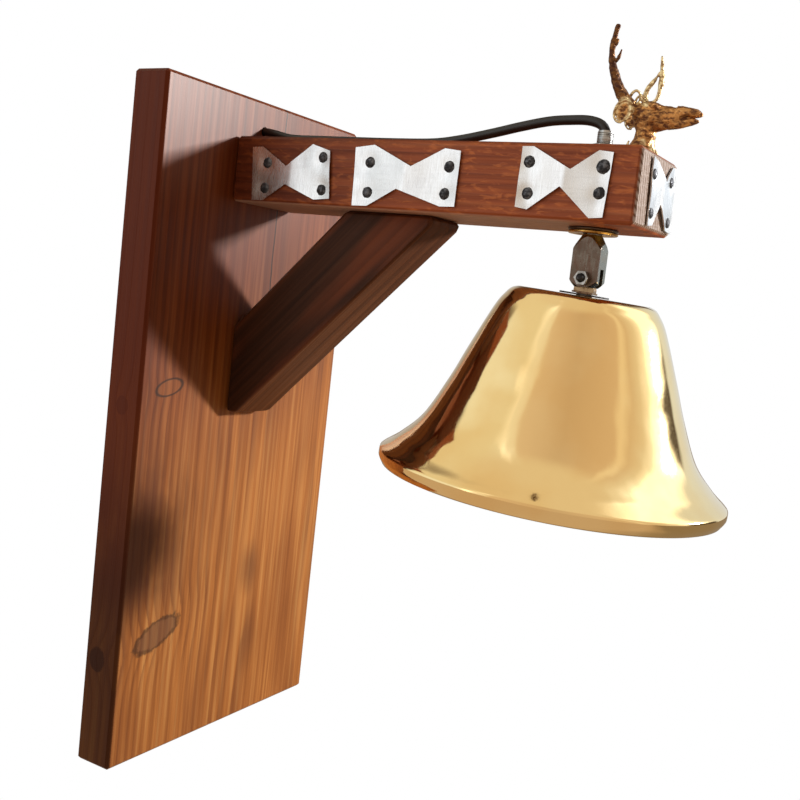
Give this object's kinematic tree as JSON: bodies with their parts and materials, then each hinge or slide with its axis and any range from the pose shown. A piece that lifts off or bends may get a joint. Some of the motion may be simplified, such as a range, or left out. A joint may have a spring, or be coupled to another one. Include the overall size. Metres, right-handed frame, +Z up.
{
  "type": "wall lamp",
  "caption": "Rustic wall lamp: wooden backboard, braced beam with nailed aluminium plates and a stag's head, and a gold bell shade that swivels and tilts on a knuckle.",
  "frame": {"origin": "middle of the backboard's back face, on the wall", "axes": "+X along the wall to the right as seen from the room, +Y into the wall, +Z up"},
  "size_m": [0.2232, 0.3853, 0.5129],
  "materials": {
    "pine_board": "satin, brushed grain",
    "stained_wood": "satin stain",
    "aluminium_sheet": "brushed, hand cut",
    "nail_iron": "forged, dark",
    "dark_steel": "worn",
    "zinc_steel": "zinc plated",
    "gold_mirror": "mirror polished",
    "cast_brass": "cast, darkened",
    "bare_brass": "bare",
    "cable_sheath": "matt",
    "black_plastic": "fine texture",
    "white_plastic": "gloss",
    "ceramic": "glazed",
    "frosted_glass": "frosted"
  },
  "bodies": {
    "root": {"backboard": "pine_board", "beam": "stained_wood", "beam_screw_lower": "dark_steel", "beam_screw_upper": "dark_steel", "beam_washer": "zinc_steel", "brace": "stained_wood", "brace_screw_beam": "dark_steel", "brace_screw_wall": "dark_steel", "end_nail_1": "nail_iron", "end_nail_2": "nail_iron", "end_nail_3": "nail_iron", "end_nail_4": "nail_iron", "end_plate": "aluminium_sheet", "hanger_left": "dark_steel", "hanger_right": "dark_steel", "hanger_screw_left_1": "dark_steel", "hanger_screw_left_2": "dark_steel", "hanger_screw_right_1": "dark_steel", "hanger_screw_right_2": "dark_steel", "knuckle_washer": "zinc_steel", "lamp_cable": "cable_sheath", "side_nail_1_1": "nail_iron", "side_nail_1_2": "nail_iron", "side_nail_1_3": "nail_iron", "side_nail_1_4": "nail_iron", "side_nail_2_1": "nail_iron", "side_nail_2_2": "nail_iron", "side_nail_2_3": "nail_iron", "side_nail_2_4": "nail_iron", "side_nail_3_1": "nail_iron", "side_nail_3_2": "nail_iron", "side_nail_3_3": "nail_iron", "side_nail_3_4": "nail_iron", "side_plate_far_1": "aluminium_sheet", "side_plate_far_2": "aluminium_sheet", "side_plate_far_3": "aluminium_sheet", "side_plate_near_1": "aluminium_sheet", "side_plate_near_2": "aluminium_sheet", "side_plate_near_3": "aluminium_sheet", "stag_head": "cast_brass", "terminal_block": "white_plastic", "threaded_tube": "zinc_steel", "tube_lock_nut": "zinc_steel", "tube_top_washer": "zinc_steel"},
    "swivel": {"knuckle_body": "dark_steel", "pivot_bolt": "dark_steel", "pivot_nut": "dark_steel"},
    "shade_arm": {"knuckle_tongue": "zinc_steel", "shade_washer": "zinc_steel", "shade": "gold_mirror", "shade_nut": "zinc_steel", "lampholder_cap": "black_plastic", "lampholder_sleeve": "black_plastic", "lampholder_insert": "ceramic", "lampholder_shell": "bare_brass", "lampholder_contact": "bare_brass", "bulb_cap": "zinc_steel", "bulb_glass": "frosted_glass", "holder_lead": "cable_sheath"}
  },
  "joints": [
    {"name": "shade_swivel", "type": "hinge", "parent": "root", "child": "swivel", "pos_m": [-0.0042, -0.2852, 0.1295], "axis": [0, 0, 1], "range_deg": [-170, 170]},
    {"name": "shade_tilt", "type": "hinge", "parent": "swivel", "child": "shade_arm", "pos_m": [-0.0042, -0.2852, 0.1295], "axis": [1, 0, 0], "range_deg": [-33.6, 26.4]}
  ]
}
